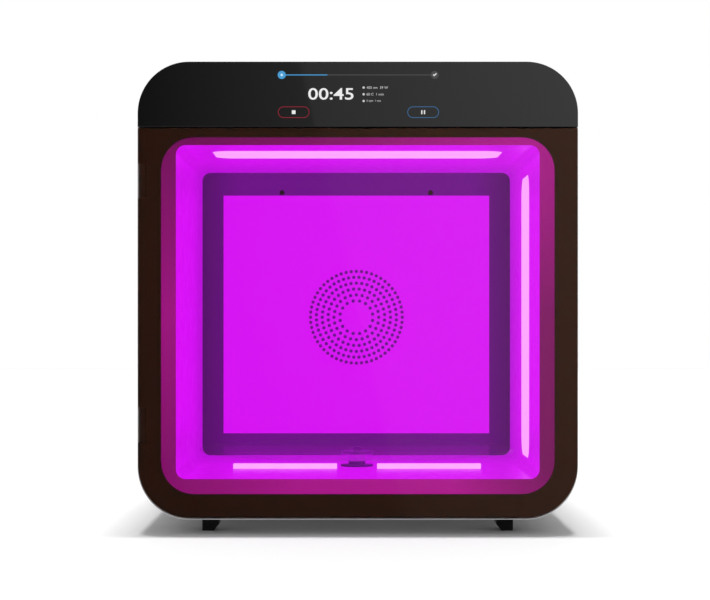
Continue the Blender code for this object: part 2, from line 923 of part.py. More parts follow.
def build_air():
    axis = pivot("circulation_axis", (0, 165 * MM, FAN_Z))
    origin = (0, 165 * MM, FAN_Z)
    plate = [
        (2.8 * MM, 154 * MM),
        (12 * MM, 154 * MM),
        (12 * MM, 174 * MM),
        (60 * MM, 174 * MM),
        (60 * MM, 176 * MM),
        (2.8 * MM, 176 * MM),
    ]
    wheel = put(
        "circulation_impeller",
        turned(plate, "Y", (0, 0, FAN_Z), 32),
        aluminium(),
        origin,
        axis,
    )
    blades = bmesh.new()
    for step in range(12):
        blade = block((30 * MM, 154 * MM, -MM), (58 * MM, 175 * MM, MM))
        lean = Matrix.Rotation(math.radians(25), 4, "Y")
        middle = Matrix.Translation((44 * MM, 0, 0))
        turn = Matrix.Rotation(2 * math.pi * step / 12, 4, "Y")
        place = Matrix.Translation((0, 0, FAN_Z)) @ turn @ middle @ lean @ middle.inverted()
        bmesh.ops.transform(blade, matrix=place, verts=blade.verts)
        merge(blade, blades)
    join(wheel, blades)
    motor = [
        (0, 156 * MM),
        (2.5 * MM, 156 * MM),
        (2.5 * MM, CHAMBER_BACK + LINER_WALL + GAP),
        (30 * MM, CHAMBER_BACK + LINER_WALL + GAP),
        (30 * MM, 222 * MM),
        (0, 222 * MM),
    ]
    put("circulation_motor", turned(motor, "Y", (0, 0, FAN_Z)), bare_steel())
    coil = [
        (78 * MM + 4 * MM * math.cos(a), 165 * MM + 4 * MM * math.sin(a))
        for a in (2 * math.pi * step / 6 for step in range(6))
    ]
    put("ring_heater", turned(coil, "Y", (0, 0, FAN_Z), 28), bare_steel())
    put(
        "temperature_sensor",
        rod("Y", (-100 * MM, 0, 400 * MM), 2.5 * MM, 160 * MM, CHAMBER_BACK - GAP, 12),
        bare_steel(),
    )
    for name, x in REAR_FANS.items():
        build_rear_fan(name, x)


def merge(source, target):
    """Moves one bmesh's solid into another."""
    mesh = bpy.data.meshes.new("scratch")
    source.to_mesh(mesh)
    source.free()
    target.from_mesh(mesh)
    bpy.data.meshes.remove(mesh)


def build_rear_fan(name, x):
    back = SHELL_BACK - GAP
    front = back - FAN_DEPTH
    half = FAN_SIZE / 2
    frame = put(
        f"{name}_fan_frame",
        prism(
            rounded((x - half, x + half), (REAR_FAN_Z - half, REAR_FAN_Z + half), 5 * MM, 3),
            "Y",
            front,
            back,
        ),
        moulded_nylon(),
    )
    cut(frame, rod("Y", (x, 0, REAR_FAN_Z), 37.5 * MM, front - MM, back + MM, 32))
    spider = rod("Y", (x, 0, REAR_FAN_Z), 17 * MM, front, front + 2.5 * MM)
    join(frame, spider)
    for turn in (45, 135):
        strut = block((-39 * MM, front, -1.5 * MM), (39 * MM, front + 2.4 * MM, 1.5 * MM))
        place = Matrix.Translation((x, 0, REAR_FAN_Z)) @ Matrix.Rotation(math.radians(turn), 4, "Y")
        bmesh.ops.transform(strut, matrix=place, verts=strut.verts)
        join(frame, strut)
    origin = (x, front + FAN_DEPTH / 2, REAR_FAN_Z)
    axis = pivot(f"{name}_fan_axis", origin)
    rotor = put(
        f"{name}_fan_rotor",
        rod("Y", (x, 0, REAR_FAN_Z), 16 * MM, front + 3.5 * MM, back - MM),
        moulded_nylon(),
        origin,
        axis,
    )
    blades = bmesh.new()
    for step in range(7):
        blade = block((15 * MM, -6.5 * MM, -0.9 * MM), (36 * MM, 6.5 * MM, 0.9 * MM))
        pitch = Matrix.Rotation(math.radians(40), 4, "X")
        turn = Matrix.Rotation(2 * math.pi * step / 7, 4, "Y")
        place = Matrix.Translation((x, front + 11.5 * MM, REAR_FAN_Z)) @ turn @ pitch
        bmesh.ops.transform(blade, matrix=place, verts=blade.verts)
        merge(blade, blades)
    join(rotor, blades)


# Electrics


def build_electrics():
    put(
        "power_supply",
        prism(rounded((-215 * MM, -75 * MM), (110 * MM, 205 * MM), 2 * MM, 2), "Y", 192 * MM, 236 * MM),
        aluminium(),
    )
    board = put(
        "mainboard",
        block((60 * MM, 200 * MM, 110 * MM), (215 * MM, 201.6 * MM, 215 * MM)),
        circuit_board(),
    )
    parts = bmesh.new()
    for x, z, width, height, deep in (
        (70, 120, 24, 12, 9),
        (100, 120, 24, 12, 9),
        (120, 160, 26, 26, 3),
        (175, 180, 14, 20, 12),
        (70, 180, 30, 16, 6),
    ):
        block(
            (x * MM, 201 * MM, z * MM),
            ((x + width) * MM, (201.6 + deep) * MM, (z + height) * MM),
            into=parts,
        )
    join(board, parts)
    outside = SHELL_BACK + GAP + REAR_COVER_THICK + GAP
    face = outside + 1.5 * MM
    inlet = put(
        "power_inlet",
        prism(
            rounded(
                (INLET_X - 17 * MM, INLET_X + 17 * MM), (INLET_Z - 27 * MM, INLET_Z + 27 * MM), 3 * MM, 3
            ),
            "Y",
            outside,
            face,
        ),
        black_plastic(),
    )
    join(
        inlet,
        block(
            (INLET_X - 13.5 * MM, 232 * MM, INLET_Z - 23.5 * MM),
            (INLET_X + 13.5 * MM, outside + MM / 2, INLET_Z + 23.5 * MM),
        ),
    )
    cavities = bmesh.new()
    block(
        (INLET_X - 11.5 * MM, face - 16 * MM, INLET_Z - 21 * MM),
        (INLET_X + 11.5 * MM, face + MM, INLET_Z - 4 * MM),
        into=cavities,
    )
    block(
        (INLET_X - 9 * MM, face - 12 * MM, INLET_Z + MM),
        (INLET_X + 9 * MM, face + MM, INLET_Z + 21 * MM),
        into=cavities,
    )
    cut(inlet, cavities)
    pins = bmesh.new()
    for x in (-7, 0, 7):
        block(
            (INLET_X + (x - 1) * MM, face - 18 * MM, INLET_Z - 15.5 * MM),
            (INLET_X + (x + 1) * MM, face - 3 * MM, INLET_Z - 10.5 * MM),
            into=pins,
        )
    join(inlet, pins)
    build_rocker(face)
    port = put(
        "data_port",
        block(
            (-INLET_X - 18 * MM, 236 * MM, INLET_Z - 8 * MM),
            (-INLET_X + 18 * MM, outside - GAP, INLET_Z + 8 * MM),
        ),
        bare_steel(),
    )
    sockets = bmesh.new()
    for left, width, height in ((-15, 13, 11), (2, 12, 5)):
        block(
            (-INLET_X + left * MM, outside - 12 * MM, INLET_Z - height / 2 * MM),
            (-INLET_X + (left + width) * MM, outside + MM, INLET_Z + height / 2 * MM),
            into=sockets,
        )
    cut(port, sockets)


def build_rocker(face):
    """The power switch's rocker, pressed at its upper end; it turns about X."""
    centre = (INLET_X, face - 5 * MM, INLET_Z + 11 * MM)
    outline = [(-3, -8), (2, -8.5), (3.2, 0), (2, 8.5), (-3, 8)]
    rocker = prism([(y * MM, z * MM) for y, z in outline], "X", -8 * MM, 8 * MM)
    turn = Matrix.Translation(centre) @ Matrix.Rotation(ROCKER_TILT, 4, "X")
    bmesh.ops.transform(rocker, matrix=turn, verts=rocker.verts)
    put("power_rocker", rocker, black_plastic(), centre, pivot("rocker_axis", centre))


def main():
    for thing in list(bpy.data.objects):
        bpy.data.objects.remove(thing)
    build_casing()
    build_panel()
    build_door()
    build_chamber()
    build_turntable()
    build_air()
    build_electrics()


main()
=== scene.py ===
"""The looks of the UV post-cure station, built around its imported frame. Metres, front towards -Y."""
import math

import bmesh
import bpy
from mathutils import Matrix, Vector


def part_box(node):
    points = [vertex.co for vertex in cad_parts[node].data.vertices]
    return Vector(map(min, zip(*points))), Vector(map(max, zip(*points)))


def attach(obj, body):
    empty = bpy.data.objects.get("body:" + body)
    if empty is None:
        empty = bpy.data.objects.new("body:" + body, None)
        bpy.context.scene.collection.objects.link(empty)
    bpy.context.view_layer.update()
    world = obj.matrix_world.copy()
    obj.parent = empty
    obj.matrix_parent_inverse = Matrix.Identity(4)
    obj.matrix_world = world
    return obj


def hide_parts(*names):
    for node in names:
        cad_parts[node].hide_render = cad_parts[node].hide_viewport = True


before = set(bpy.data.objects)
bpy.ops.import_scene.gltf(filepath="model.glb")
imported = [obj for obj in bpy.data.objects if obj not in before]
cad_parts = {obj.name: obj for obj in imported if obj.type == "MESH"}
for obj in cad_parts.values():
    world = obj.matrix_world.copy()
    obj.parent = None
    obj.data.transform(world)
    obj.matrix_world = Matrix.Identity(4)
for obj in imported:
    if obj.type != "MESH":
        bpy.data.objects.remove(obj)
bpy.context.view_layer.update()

MM = 0.001
FINE = 24  # steps in a rounded corner

# Places read from the frame
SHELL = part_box("outer_shell")
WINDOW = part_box("door_window")
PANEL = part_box("control_panel_glass")
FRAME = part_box("door_frame")
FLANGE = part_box("chamber_flange")
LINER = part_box("chamber_liner")
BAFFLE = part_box("fan_baffle")
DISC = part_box("turntable_disc")
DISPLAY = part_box("display_module")
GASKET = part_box("door_gasket")
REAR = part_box("rear_cover")
TOP_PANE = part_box("top_led_window")
SIDE_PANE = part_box("side_led_window")
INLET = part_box("power_inlet")

# Radii and openings of the frame's rounded pieces
SHELL_RADIUS = 63 * MM
GLASS_RADIUS = 61 * MM
CLEAR_HALF = 234.5 * MM
CLEAR_Z = (47.3 * MM, 472.4 * MM)
CLEAR_RADIUS = 39 * MM
CHAMBER_HALF = 217.5 * MM
CHAMBER_Z = (64.5 * MM, 464 * MM)
CHAMBER_RADIUS = 11.5 * MM
CHAMBER_BACK = 186 * MM
PANE_MARGIN = 5 * MM
PANE_CORNER = 24 * MM
FAN_Z = 259.6 * MM
HOLE_RADIUS = 2.4 * MM
HOLE_RINGS = 6
FIRST_RING = 23 * MM
RING_STEP = 8.2 * MM
PANE_STEPS = 12

# Rear cover
SLOT_HEIGHT = 5 * MM
SLOT_RADIUS = 2.49 * MM
COVER_SCREW_ROWS = (150 * MM, 290 * MM, 430 * MM)
COVER_SCREW_ENDS = (32 * MM, 549 * MM)

# How much each face of the tinted window holds back
TINT = 0.20
COAT_ROUGHNESS = 0.35


# Materials


def new_material(name):
    made = bpy.data.materials.new(name)
    made.use_nodes = True
    nodes = made.node_tree.nodes
    return made, nodes, made.node_tree.links, nodes["Principled BSDF"]


def object_point(nodes):
    return nodes.new("ShaderNodeTexCoord").outputs["Object"]


def noise(nodes, links, scale, detail=3.0, stretch=None):
    """Noise over the piece's own coordinates, stretched along an axis where one is given."""
    texture = nodes.new("ShaderNodeTexNoise")
    texture.inputs["Scale"].default_value = scale
    texture.inputs["Detail"].default_value = detail
    point = object_point(nodes)
    if stretch:
        mapping = nodes.new("ShaderNodeMapping")
        mapping.inputs["Scale"].default_value = stretch
        links.new(point, mapping.inputs["Vector"])
        point = mapping.outputs["Vector"]
    links.new(point, texture.inputs["Vector"])
    return texture.outputs["Fac"]


def ranged(nodes, links, value, low, high, start=0.3, end=0.7):
    """The value between start and end, remapped to low and high."""
    mapped = nodes.new("ShaderNodeMapRange")
    mapped.inputs["From Min"].default_value = start
    mapped.inputs["From Max"].default_value = end
    mapped.inputs["To Min"].default_value = low
    mapped.inputs["To Max"].default_value = high
    links.new(value, mapped.inputs["Value"])
    return mapped.outputs["Result"]


def ramp(nodes, links, value, stops):
    """A colour ramp through (position, linear colour) stops."""
    made = nodes.new("ShaderNodeValToRGB")
    elements = made.color_ramp.elements
    while len(elements) > 1:
        elements.remove(elements[-1])
    elements[0].position = stops[0][0]
    elements[0].color = (*stops[0][1], 1)
    for position, colour in stops[1:]:
        elements.new(position).color = (*colour, 1)
    links.new(value, made.inputs["Fac"])
    return made.outputs["Color"]


def bump(nodes, links, shader, height, distance):
    made = nodes.new("ShaderNodeBump")
    made.inputs["Strength"].default_value = 1.0
    made.inputs["Distance"].default_value = distance
    links.new(height, made.inputs["Height"])
    links.new(made.outputs["Normal"], shader.inputs["Normal"])


def surface(name, colour, roughness, metallic=0.0, grain=900.0, depth=0.00002,
            variation=0.06, stretch=None, specular=0.5):
    """A worked surface: its tone and roughness wander a little, and its grain stands in relief."""
    made, nodes, links, shader = new_material(name)
    tone = noise(nodes, links, 9.0, 4.0)
    darker = tuple(c * (1 - variation) for c in colour)
    lighter = tuple(min(c * (1 + variation), 1) for c in colour)
    links.new(ramp(nodes, links, tone, [(0.3, darker), (0.7, lighter)]), shader.inputs["Base Color"])
    rough = ranged(nodes, links, noise(nodes, links, 60.0), roughness * 0.85, roughness * 1.15)
    links.new(rough, shader.inputs["Roughness"])
    shader.inputs["Metallic"].default_value = metallic
    shader.inputs["Specular IOR Level"].default_value = specular
    bump(nodes, links, shader, noise(nodes, links, grain, 2.0, stretch), depth)
    return made


def axis_value(nodes, links, axis, low, high):
    """How far along X, Y or Z a point is, from 0 at low to 1 at high."""
    split = nodes.new("ShaderNodeSeparateXYZ")
    links.new(object_point(nodes), split.inputs["Vector"])
    return ranged(nodes, links, split.outputs[axis], 0.0, 1.0, low, high)


def lit_wall(name, axis, span, stops, lamp_tinted_base):
    """Coated sheet bathed in the lamps' violet light: the light is painted on as a glow which changes along
    an axis, and the dark base colour is tinted violet with the same painted light.
    """
    made, nodes, links, shader = new_material(name)
    light = ramp(nodes, links, axis_value(nodes, links, axis, *span), stops)
    links.new(light, shader.inputs["Emission Color"])
    shader.inputs["Emission Strength"].default_value = 1.0
    tone = noise(nodes, links, 14.0)
    shades = [(0.3, tuple(c * 0.9 for c in lamp_tinted_base)), (0.7, lamp_tinted_base)]
    links.new(ramp(nodes, links, tone, shades), shader.inputs["Base Color"])
    links.new(
        ranged(nodes, links, noise(nodes, links, 80.0), COAT_ROUGHNESS * 0.85, COAT_ROUGHNESS * 1.15),
        shader.inputs["Roughness"],
    )
    shader.inputs["Specular IOR Level"].default_value = 0.1
    bump(nodes, links, shader, noise(nodes, links, 1400.0, 2.0), 0.00001)
    return made


def flange_material():
    """The front flange catches the lamps unevenly, so its glow changes with the angle round it."""
    made, nodes, links, shader = new_material("flange_coat_lit")
    mapping = nodes.new("ShaderNodeMapping")
    mapping.inputs["Rotation"].default_value = (-math.pi / 2, 0, 0)
    middle = (CHAMBER_Z[0] + CHAMBER_Z[1]) / 2
    mapping.inputs["Location"].default_value = (0, -middle, 0)
    links.new(object_point(nodes), mapping.inputs["Vector"])
    gradient = nodes.new("ShaderNodeTexGradient")
    gradient.gradient_type = "RADIAL"
    links.new(mapping.outputs["Vector"], gradient.inputs["Vector"])
    glow = (1.0, 0.008, 0.66)
    levels = (
        (0.0, 0.47), (0.11, 0.30), (0.20, 0.55), (0.33, 0.58), (0.39, 0.23),
        (0.5, 0.27), (0.63, 0.56), (0.755, 0.31), (0.868, 0.20), (1.0, 0.47),
    )
    stops = [(at, tuple(c * level for c in glow)) for at, level in levels]
    links.new(ramp(nodes, links, gradient.outputs["Fac"], stops), shader.inputs["Emission Color"])
    shader.inputs["Emission Strength"].default_value = 1.0
    # The flange's dark base colour, tinted violet with painted lamp light.
    shades = [(0.3, (0.02, 0.001, 0.014)), (0.7, (0.024, 0.001, 0.016))]
    links.new(ramp(nodes, links, noise(nodes, links, 12.0), shades), shader.inputs["Base Color"])
    shader.inputs["Roughness"].default_value = 0.4
    shader.inputs["Specular IOR Level"].default_value = 0.1
    bump(nodes, links, shader, noise(nodes, links, 1400.0, 2.0), 0.00001)
    return made


def clear_material(name, colour, alpha, roughness, specular, tint=(1, 1, 1)):
    """A see-through sheet with faint wipe marks in its polish."""
    made, nodes, links, shader = new_material(name)
    tone = noise(nodes, links, 6.0, 3.0, (1.0, 1.0, 0.4))
    shades = [(0.35, tuple(c * 0.88 for c in colour)), (0.65, colour)]
    links.new(ramp(nodes, links, tone, shades), shader.inputs["Base Color"])
    links.new(
        ranged(nodes, links, noise(nodes, links, 22.0), roughness * 0.6, roughness * 1.4),
        shader.inputs["Roughness"],
    )
    shader.inputs["Alpha"].default_value = alpha
    shader.inputs["Specular IOR Level"].default_value = specular
    shader.inputs["Specular Tint"].default_value = (*tint, 1)
    return made


def lamp_material(name, colour, strength):
    """A diffuser pane over rows of LEDs: the light pools a little over each row."""
    made, nodes, links, shader = new_material(name)
    pools = noise(nodes, links, 55.0, 1.0)
    shades = [(0.25, tuple(c * 0.93 for c in colour)), (0.75, colour)]
    links.new(ramp(nodes, links, pools, shades), shader.inputs["Emission Color"])
    shader.inputs["Emission Strength"].default_value = strength
    tones = [(0.2, (0.5, 0.2, 0.5)), (0.8, (0.6, 0.25, 0.6))]
    links.new(ramp(nodes, links, pools, tones), shader.inputs["Base Color"])
    shader.inputs["Roughness"].default_value = 0.3
    return made


def glyph_material(name, colour):
    """The display's lit marks, with a faint grid in their glow."""
    made, nodes, links, shader = new_material(name)
    pitch = noise(nodes, links, 4000.0, 0.0)
    shades = [(0.2, tuple(c * 0.96 for c in colour)), (0.8, colour)]
    links.new(ramp(nodes, links, pitch, shades), shader.inputs["Emission Color"])
    shader.inputs["Emission Strength"].default_value = 1.0
    shader.inputs["Base Color"].default_value = (0, 0, 0, 1)
    shader.inputs["Specular IOR Level"].default_value = 0.0
    return made


def make_materials():
    """Every finish by its name, with the lamps' light and shade painted as a glow on the chamber's coated
    parts. That painted glow is brightened to make up for what the window holds back.
    """
    seen = (1 - TINT) ** 2
    # Painted light: the lamps' glow on the baffle plate, the side walls, the back wall and the hollows behind
    # the baffle, with painted shade towards the back of the walls and at the sides of the back wall and the
    # seat.
    plate = (0.655 / seen, 0.001, 0.885 / seen)
    wall = (0.56 / seen, 0.001, 0.76 / seen)
    shade = (0.43 / seen, 0.001, 0.63 / seen)
    back = (0.125 / seen, 0.001, 0.225 / seen)
    side_shade = (0.068 / seen, 0.001, 0.125 / seen)
    hollow = (0.11 / seen, 0.001, 0.24 / seen)
    # The coat's dark base colour, tinted violet with painted lamp light.
    lamp_tinted_base = (0.02, 0.0005, 0.03)
    return {
        "shell": surface("shell_powder_coat", (0.60, 0.60, 0.605), 0.36, 0.2, 1500.0, 0.00002, 0.02),
        "rear": surface("rear_powder_coat", (0.55, 0.55, 0.555), 0.42, 0.2, 1500.0, 0.00002, 0.02),
        "panel": clear_material("panel_black_glass", (0.0010, 0.0010, 0.0012), 1.0, 0.03, 0.5),
        "window": clear_material(
            "window_tint", (0.046, 0.0095, 0.0018), TINT, 0.03, 0.82, (1.0, 0.62, 0.45)
        ),
        "frame": surface(
            "door_frame_black", (0.004, 0.004, 0.004), 0.6, 0.0, 1200.0, 0.00003, specular=0.06
        ),
        "outside": surface("bare_sheet", (0.30, 0.30, 0.31), 0.45, 0.7, 1200.0, 0.00003, 0.1),
        "plastic": surface("moulded_black", (0.018, 0.018, 0.019), 0.5, 0.0, 1300.0, 0.00004, 0.1),
        "rubber": surface(
            "foot_rubber", (0.003, 0.003, 0.003), 0.75, 0.0, 1500.0, 0.00006, 0.15, specular=0.1
        ),
        "steel": surface(
            "brushed_steel", (0.56, 0.56, 0.58), 0.30, 1.0, 2500.0, 0.00002, 0.05, (1.0, 1.0, 0.03)
        ),
        "dark_screw": surface("blackened_screw", (0.01, 0.01, 0.011), 0.35, 0.6, 900.0, 0.00002),
        "dark_steel": surface(
            "blackened_steel", (0.006, 0.006, 0.006), 0.5, 0.0, 1500.0, 0.00002, specular=0.08
        ),
        "hidden_screw": surface(
            "window_side_screw", (0.0005, 0.0005, 0.0005), 0.6, 0.0, 900.0, 0.00002, specular=0.0
        ),
        "aluminium": surface("satin_aluminium", (0.70, 0.71, 0.73), 0.32, 1.0, 2000.0, 0.00002, 0.04),
        "board": surface("solder_mask", (0.012, 0.10, 0.04), 0.38, 0.0, 700.0, 0.00003, 0.15),
        "nylon": surface("dark_nylon", (0.02, 0.02, 0.022), 0.5, 0.0, 1100.0, 0.00005, 0.1),
        # Painted light on the chamber walls, fading into painted shade towards the back.
        "wall": lit_wall(
            "chamber_wall_lit", "Y", (LINER[0].y, CHAMBER_BACK),
            [(0.0, wall), (0.6, wall), (1.0, shade)], lamp_tinted_base
        ),
        # Painted light on the back wall, with painted shade at both sides.
        "back_wall": lit_wall(
            "back_wall_lit", "X", (-CHAMBER_HALF, CHAMBER_HALF),
            [(0.0, side_shade), (0.12, back), (0.88, back), (1.0, side_shade)], lamp_tinted_base
        ),
        "baffle": lit_wall("baffle_lit", "Z", (BAFFLE[0].z, BAFFLE[1].z), [(0.0, plate), (1.0, plate)], lamp_tinted_base),
        "flange": flange_material(),
        "hollow": lit_wall("lit_hollow", "Z", (0.05, 0.6), [(0.0, hollow), (1.0, hollow)], lamp_tinted_base),
        # Painted light on the hub, with darker painted shade on its top just under the glass disc.
        "hub": lit_wall(
            "hub_lit", "Z", (72 * MM, DISC[0].z),
            [(0.0, shade), (0.66, shade), (0.70, back), (1.0, back)], lamp_tinted_base
        ),
        # Painted shade on the turntable's seat and shaft, a dim painted glow that is darker towards the left.
        "seat": lit_wall("seat_in_shadow", "X", (-21 * MM, 21 * MM), [(0.0, side_shade), (1.0, back)], lamp_tinted_base),
        "lamp": lamp_material("led_diffuser_lit", (0.965, 0.385, 1.0), 1.5),
        "disc": clear_material("turntable_glass", (0.55, 0.10, 0.60), 0.10, 0.04, 0.6),
        "white": glyph_material("glyph_white", (0.86, 0.86, 0.86)),
        "soft_white": glyph_material("glyph_soft_white", (0.60, 0.60, 0.60)),
        "grey": glyph_material("glyph_grey", (0.075, 0.075, 0.08)),
        "blue": glyph_material("glyph_blue", (0.075, 0.34, 0.66)),
        "pale_blue": glyph_material("glyph_pale_blue", (0.55, 0.80, 0.95)),
        "dim_blue": glyph_material("glyph_dim_blue", (0.055, 0.16, 0.34)),
        "red": glyph_material("glyph_red", (0.30, 0.022, 0.040)),
    }


# Geometry


def rounded(x_span, z_span, radii, steps=FINE):
    """A rounded rectangle's outline; radii go low-low, high-low, high-high and low-high."""
    if not isinstance(radii, (tuple, list)):
        radii = (radii,) * 4
    points = []
    for index, (i, j) in enumerate(((0, 0), (1, 0), (1, 1), (0, 1))):
        radius = radii[index]
        x = x_span[i] + (radius if i == 0 else -radius)
        z = z_span[j] + (radius if j == 0 else -radius)
        for step in range(steps + 1):
            angle = math.pi + (index + step / steps) * math.pi / 2
            points.append((x + radius * math.cos(angle), z + radius * math.sin(angle)))
    return points


def spot(axis, a, b, along):
    return {"X": (along, a, b), "Y": (a, along, b), "Z": (a, b, along)}[axis]


def closed(solid, faces):
    bmesh.ops.recalc_face_normals(solid, faces=faces)
    return solid


def sweep(outline, axis, low, high, into=None):
    """The outline swept along an axis."""
    solid = into or bmesh.new()
    loops = [[solid.verts.new(spot(axis, *p, along)) for p in outline] for along in (low, high)]
    faces = [solid.faces.new(loop) for loop in loops]
    for i in range(len(outline)):
        j = (i + 1) % len(outline)
        faces.append(solid.faces.new((loops[0][i], loops[0][j], loops[1][j], loops[1][i])))
    return closed(solid, faces)


def band(outer, inner, axis, low, high, into=None):
    """The ring between two outlines of as many points, swept along an axis."""
    solid = into or bmesh.new()
    loops = [
        [solid.verts.new(spot(axis, *p, along)) for p in outline]
        for along, outline in ((low, outer), (high, outer), (high, inner), (low, inner))
    ]
    faces = []
    for a, b in zip(loops, loops[1:] + loops[:1]):
        for i in range(len(outer)):
            j = (i + 1) % len(outer)
            faces.append(solid.faces.new((a[i], a[j], b[j], b[i])))
    return closed(solid, faces)


def turn(profile, axis, centre, count=48, into=None):
    """A profile of (radius, along) points turned about an axis; off the axis it closes on itself."""
    solid = into or bmesh.new()
    loops = []
    for radius, along in profile:
        spots = 1 if radius == 0 else count
        angles = [2 * math.pi * step / count for step in range(spots)]
        flat = [(radius * math.cos(a), radius * math.sin(a)) for a in angles]
        loops.append([solid.verts.new(Vector(spot(axis, *p, along)) + Vector(centre)) for p in flat])
    faces = []
    ends_on_axis = profile[0][0] == 0 and profile[-1][0] == 0
    pairs = list(zip(loops, loops[1:])) + ([] if ends_on_axis else [(loops[-1], loops[0])])
    for a, b in pairs:
        for i in range(count):
            j = (i + 1) % count
            corners = [a[i % len(a)], a[j % len(a)], b[j % len(b)], b[i % len(b)]]
            faces.append(solid.faces.new(list(dict.fromkeys(corners))))
    return closed(solid, faces)


def cuboid(low, high, into=None):
    outline = ((low[0], low[1]), (high[0], low[1]), (high[0], high[1]), (low[0], high[1]))
    return sweep(outline, "Z", low[2], high[2], into)


def piece(name, solid, paint, body, stands_for=(), bevel=0.0, segments=3, smooth=40):
    """A finished piece that rides on a body."""
    mesh = bpy.data.meshes.new(name)
    solid.to_mesh(mesh)
    solid.free()
    mesh.materials.append(paint)
    mesh.shade_smooth()
    mesh.set_sharp_from_angle(angle=math.radians(smooth))
    made = bpy.data.objects.new(name, mesh)
    bpy.context.scene.collection.objects.link(made)
    if bevel:
        add_bevel(made, bevel, segments)
    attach(made, body)
    if stands_for:
        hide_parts(*stands_for)
    return made


def add_bevel(thing, width, segments=3):
    change = thing.modifiers.new("edge", "BEVEL")
    change.width = width
    change.segments = segments
    change.limit_method = "ANGLE"
    change.angle_limit = math.radians(40)
    change.harden_normals = True


def carve(thing, solid):
    """Cuts the solid out of the piece and keeps the result as its mesh."""
    mesh = bpy.data.meshes.new("cutter")
    solid.to_mesh(mesh)
    solid.free()
    cutter = bpy.data.objects.new("cutter", mesh)
    bpy.context.scene.collection.objects.link(cutter)
    change = thing.modifiers.new("cut", "BOOLEAN")
    change.operation = "DIFFERENCE"
    change.object = cutter
    thing.modifiers.move(len(thing.modifiers) - 1, 0)
    held = [m for m in thing.modifiers if m.type != "BOOLEAN"]
    for modifier in held:
        modifier.show_viewport = False
    graph = bpy.context.evaluated_depsgraph_get()
    result = bpy.data.meshes.new_from_object(thing.evaluated_get(graph))
    thing.modifiers.remove(change)
    thing.data = result
    for modifier in held:
        modifier.show_viewport = True
    bpy.data.objects.remove(cutter)
    thing.data.shade_smooth()
    thing.data.set_sharp_from_angle(angle=math.radians(40))


def add_screw(solid, axis, centre, radius, out, height=1.6 * MM):
    """A button-head screw with a hexagon socket, standing out along the axis by out = +1 or -1."""
    count = 24
    socket = radius * 0.5

    def hexagon(angle):
        return socket * math.cos(math.pi / 6) / math.cos(angle % (math.pi / 3) - math.pi / 6)

    def loop(radius_at, along):
        angles = [2 * math.pi * step / count for step in range(count)]
        return [
            solid.verts.new(
                Vector(spot(axis, radius_at(a) * math.cos(a), radius_at(a) * math.sin(a), along * out))
                + Vector(centre)
            )
            for a in angles
        ]

    loops = [
        loop(lambda a: radius, 0),
        loop(lambda a: radius, height * 0.35),
        loop(lambda a: radius * 0.9, height * 0.75),
        loop(lambda a: radius * 0.68, height),
        loop(hexagon, height),
        loop(hexagon, height * 0.3),
    ]
    faces = [solid.faces.new(loops[0]), solid.faces.new(loops[-1])]
    for a, b in zip(loops, loops[1:]):
        for i in range(count):
            j = (i + 1) % count
            faces.append(solid.faces.new((a[i], a[j], b[j], b[i])))
    return closed(solid, faces)


# Casing


def shell_outline(inset=0.0):
    low, high = SHELL
    return rounded(
        (low.x + inset, high.x - inset), (low.z + inset, high.z - inset), SHELL_RADIUS - inset
    )


def build_casing(paint):
    low, high = SHELL
    wall = FLANGE[0].x - low.x - 0.3 * MM
    solid = band(shell_outline(), shell_outline(wall), "Y", low.y, high.y)
    piece("casing_shell", solid, paint["shell"], "cabinet", ["outer_shell"], 0.5 * MM)
    cover = piece(
        "casing_rear_cover", sweep(shell_outline(), "Y", REAR[0].y, REAR[1].y),
        paint["rear"], "cabinet", ["rear_cover"], 0.4 * MM,
    )
    carve(cover, rear_openings())
    screws = bmesh.new()
    half = high.x - 14 * MM
    places = [(x, z) for x in (-half, half) for z in COVER_SCREW_ROWS]
    places += [(x, z) for z in COVER_SCREW_ENDS for x in (-150 * MM, 0, 150 * MM)]
    for x, z in places:
        add_screw(screws, "Y", (x, REAR[1].y, z), 3.2 * MM, 1, 1.4 * MM)
    piece("rear_cover_screws", screws, paint["dark_screw"], "cabinet")
    for node in ("foot_front_left", "foot_front_right", "foot_rear_left", "foot_rear_right"):
        dress(node, paint["rubber"], 1.0 * MM)


def rear_openings():
    """The fan grilles, the lower louvre and the doors for the inlet and the ports."""
    solid = bmesh.new()
    reach = (REAR[0].y - 2 * MM, REAR[1].y + 2 * MM)
    for name in ("cooling", "exhaust"):
        low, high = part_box(f"{name}_fan_frame")
        middle = (low + high) / 2
        for row in range(7):
            offset = (row - 3) * 10 * MM
            half = math.sqrt((36 * MM) ** 2 - offset**2)
            start = middle.z + offset - SLOT_HEIGHT / 2
            slot = rounded((middle.x - half, middle.x + half), (start, start + SLOT_HEIGHT), SLOT_RADIUS, 6)
            sweep(slot, "Y", *reach, into=solid)
    for row in range(6):
        start = (150 + 14 * row) * MM
        slot = rounded((-70 * MM, 70 * MM), (start, start + SLOT_HEIGHT), SLOT_RADIUS, 6)
        sweep(slot, "Y", *reach, into=solid)
    inlet_x = (INLET[0].x + INLET[1].x) / 2
    inlet_z = (INLET[0].z + INLET[1].z) / 2
    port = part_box("data_port")
    for x_span, z_span in (
        ((inlet_x - 14 * MM, inlet_x + 14 * MM), (inlet_z - 24 * MM, inlet_z + 24 * MM)),
        ((port[0].x - MM, port[1].x + MM), (port[0].z - MM, port[1].z + MM)),
    ):
        cuboid((x_span[0], reach[0], z_span[0]), (x_span[1], reach[1], z_span[1]), solid)
    return solid


def dress(node, paint, bevel=0.0):
    """Gives a CAD node its finished material and softened edges."""
    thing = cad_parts[node]
    thing.data.materials.clear()
    thing.data.materials.append(paint)
    thing.data.shade_smooth()
    thing.data.set_sharp_from_angle(angle=math.radians(35))
    if bevel:
        add_bevel(thing, bevel, 2)


# Control panel


